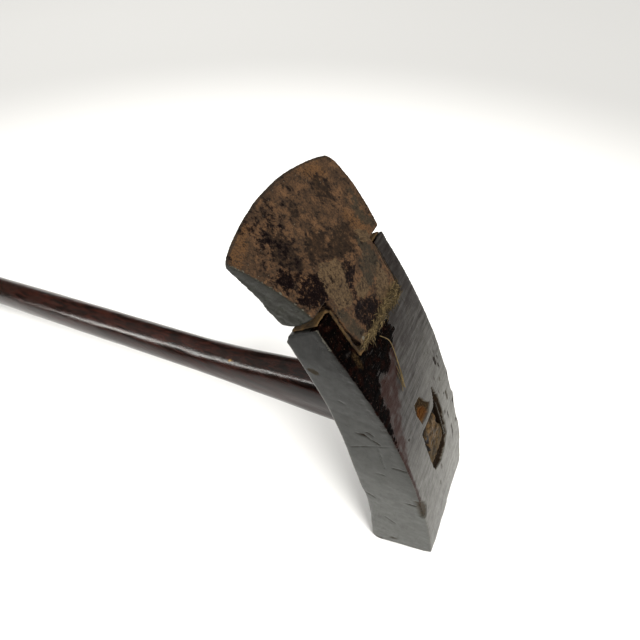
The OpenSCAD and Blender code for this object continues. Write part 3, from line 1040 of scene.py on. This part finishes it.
def grip_section(distance, angle):
    """The handle's section at a distance along it: how far it reaches across and up at each angle."""
    swell = fade(distance, 190 * MM, 60 * MM) ** 1.4
    heel = 7.5 * MM * fade(distance, 195 * MM, 70 * MM) ** 1.35
    power = 2.25 + 1.3 * swell
    c, s = np.cos(angle), np.sin(angle)
    r = (np.abs(c) ** power + np.abs(s) ** power) ** (-1 / power)
    facet = np.cos(4 * angle) * 0.012 * (1 - swell)
    across = (HALF_D + 0.2 * MM * np.sin(distance / 0.045)) * r * s * (1 + facet)
    up = HALF_D * r * c * (1 + facet) + np.where(c > 0, heel * r * c, 0)
    return across, up


def tenon_section(angle):
    c, s = np.cos(angle), np.sin(angle)
    r = (np.abs(c) ** 14 + np.abs(s) ** 14) ** (-1 / 14)
    middle, half = (TENON_TOP - TENON_FOOT) / 2, (TENON_TOP + TENON_FOOT) / 2
    return (TENON_HALF_W - 0.5 * MM) * r * s, middle + (half - 0.2 * MM) * r * c


def handle_mesh():
    """The handle as rings of points, from its eased far end over its grip to its tenon's end."""
    around = 112
    angle = np.linspace(0, 2 * math.pi, around, endpoint=False)
    # The grip's underside touches the ground just before its eased end
    grip_len = (AXIS_Z - HALF_D * math.cos(SLOPE)) / math.sin(SLOPE) + 3 * MM
    rings = []

    def add_ring(distance, across, up):
        middle = AXIS_FRONT + np.outer(distance, GRIP_OUT)
        rings.append(middle + np.outer(across, ACROSS) + np.outer(up, GRIP_UP))

    # The far end: each ring's share of the section's size, and how far before the end it lies, in mm
    end_across, end_up = grip_section(grip_len, angle)
    easing = [(0.02, 0.0), (0.25, 0.0), (0.5, 0.1), (0.72, 0.3), (0.84, 0.9), (0.93, 1.9), (0.98, 3.2)]
    for share, dip in easing:
        add_ring(np.full(around, grip_len - dip * MM), end_across * share, end_up * share)
    # The grip, from its end to the head's back face
    for w in np.linspace(1, 0, 270):
        across, up = grip_section(w * grip_len, angle)
        start = grip_meets(BACK_C, BACK_R, up) + 0.1 * MM
        distance = start + w * (grip_len - 5 * MM - start)
        add_ring(distance, *grip_section(distance, angle))
    # The tenon, to just below the head's front face, and its end
    across, up = tenon_section(angle)
    inner = grip_meets(BACK_C, BACK_R, up) - 0.3 * MM
    outer = grip_meets(FRONT_C, FRONT_R - TENON_RECESS, up)
    for w in np.linspace(0, 1, 30):
        add_ring(inner + w * (outer - inner), across, up)
    middle = (TENON_TOP - TENON_FOOT) / 2
    for share in np.linspace(0.97, 0.02, 22):
        cap_up = middle + (up - middle) * share
        add_ring(grip_meets(FRONT_C, FRONT_R - TENON_RECESS, cap_up), across * share, cap_up)
    return new_object("adze_handle", np.vstack(rings), tube_faces(len(rings), around))


def make_handle():
    obj = handle_mesh()
    co, normal = points_of(obj), normals_of(obj)
    p = co - AXIS_FRONT
    distance, across, up = p @ GRIP_OUT, p[:, 1], p @ GRIP_UP
    local = np.stack((distance, across, up), axis=1)
    hewn = rough(local, (26 * MM, 7 * MM, 7 * MM), 61, 3) * 0.16 * fade(distance, 50 * MM, 60 * MM)
    # The tenon's end is lumpy, and sunken at its sides and its top
    end = fade(distance, 7 * MM, 3 * MM)
    beside = np.abs(across + 0.4 * MM)
    sunk = 2.6 * fade(beside, 8.2 * MM, 10.6 * MM) + 1.8 * fade(up, 0, 5 * MM)
    torn = end * (rough(local, (4 * MM, 4.5 * MM, 4.5 * MM), 66, 3) * 0.9 + sunk)
    co += normal * (hewn * MM)[:, None] + np.outer(torn * MM, GRIP_OUT)
    move_points(obj, co)
    # Painted shade in the gaps at the tenon end's sides and in a spot low on its near side; its upper part is
    # darker
    gap_shade = fade(beside + 1.2 * MM * noise(local, 4 * MM, 68), 8.0 * MM, 9.8 * MM)
    upper_dark = 0.85 * fade(up + 2 * MM * noise(local, 4 * MM, 69), 1 * MM, 4 * MM)
    shaded = spot(across, up, (-7.5, -3), (3.5, 5))
    paint(obj, "raw", fade(distance, 7 * MM, 5 * MM))
    paint(obj, "black", end * np.maximum.reduce((upper_dark, shaded, gap_shade)))
    paint(obj, "fleck", spot(distance, across, (143, -6.5), (1.6, 1.0)) * (up > 0))
    finish_piece(obj, "handle_wood", handle_material(), "handle")


def make_wedge():
    obj = copy_of_cad("mortise_wedge", "handle_wedge")
    remesh(obj, 0.6 * MM, 2)
    co = points_of(obj)
    co[:, 1] *= 1 - 0.5 * MM / TENON_HALF_W
    end = fade((co - AXIS_FRONT) @ GRIP_OUT, 6 * MM, 2 * MM)
    co += np.outer(end * (0.4 + 0.5 * rough(co, 2.5 * MM, 71, 3)) * MM, GRIP_OUT)
    move_points(obj, co)
    finish_piece(obj, "wedge_wood", end_grain_material(), "handle_wedge")


# -------- stage


def make_floor():
    size = 12.0
    corners = [(-size, -size, 0), (size, -size, 0), (size, size, 0), (-size, size, 0)]
    floor = new_object("floor", corners, [(0, 1, 2, 3)])
    s = new_material("floor")
    # A painted pool of light: its colour falls off from a lighter middle, which lies a little in front of the
    # adze
    distance = s.node("VectorMath", {0: s.position, 1: (0.16, -0.12, 0)})
    distance.operation = "DISTANCE"
    tone = s.band(distance.outputs["Value"], 0.3, 1.07, 0.87, 0.405)
    grey = s.node("CombineColor", {k: tone for k in range(3)})
    floor.data.materials.append(s.surface(grey.outputs[0], 0.9, 0.1))


def turn_from(obj, direction):
    """Turns a light or a camera to look the opposite way."""
    obj.rotation_mode = "QUATERNION"
    obj.rotation_quaternion = direction.to_track_quat("Z", "Y")


def add_light(name, kind, towards, power):
    """A light that shines from the direction `towards`."""
    data = bpy.data.lights.new(name, kind)
    data.energy = power
    data.color = WARM
    lamp = add_object(name, data)
    turn_from(lamp, Vector(towards))
    return lamp


def area_light(name, towards, power, distance, size):
    """A soft light at some distance from the middle of the head, that the camera doesn't see."""
    lamp = add_light(name, "AREA", towards, power)
    lamp.data.shape = "RECTANGLE"
    lamp.data.size, lamp.data.size_y = size
    middle_of_head = Vector((BUTT_X - 60 * MM, 0, 100 * MM))
    lamp.location = middle_of_head + distance * Vector(towards).normalized()
    lamp.visible_camera = False
    return lamp


def make_lights():
    key = add_light("key", "SUN", (0.68, -0.40, 1.0), 3.75)
    key.data.angle = math.radians(31)
    strip = area_light("strip", (-0.73, -0.38, 0.57), 15, 1.2, (0.1, 1.3))
    strip.visible_diffuse = False
    fill = area_light("fill", (-0.75, 0.6, 0.75), 6, 1.8, (1.3, 1.3))
    fill.visible_glossy = False


def make_world():
    """Bright overhead and dark towards the horizon, as in a room round a lit table."""
    world = bpy.data.worlds.new("studio")
    bpy.context.scene.world = world
    s = Nodes(world)
    rise = s.node("SeparateXYZ", {0: s.place["Generated"]}).outputs["Z"]
    strength = s.band(rise, math.sin(math.radians(18)), math.sin(math.radians(52)), 0.05, 1.25)
    light = s.node("Background", {"Color": (*WARM, 1), "Strength": strength})
    pale = s.node("Background", {"Color": (0.86, 0.85, 0.82, 1)})
    seen = s.node("LightPath").outputs["Is Camera Ray"]
    mix = s.node("MixShader", {0: seen, 1: light.outputs[0], 2: pale.outputs[0]})
    s.node("OutputWorld", {"Surface": mix.outputs[0]})


def make_camera():
    data = bpy.data.cameras.new("camera")
    data.sensor_width = 36
    data.lens = 24.975
    data.clip_start, data.clip_end = 0.01, 20
    camera = add_object("camera", data)
    camera.location = (BUTT_X - 30.56 * MM, -145.42 * MM, 351.92 * MM)
    azimuth, elevation = math.radians(26.641), math.radians(48.278)
    level = math.cos(elevation)
    turn_from(camera, Vector((math.sin(azimuth) * level, -math.cos(azimuth) * level, math.sin(elevation))))
    bpy.context.scene.camera = camera


def make_stage():
    make_floor()
    make_world()
    make_lights()
    make_camera()
    bpy.context.scene.view_settings.view_transform = "Standard"


# -------- the scene

make_stage()
make_head()
make_blade()
make_packing()
make_fibres()
make_handle()
make_wedge()
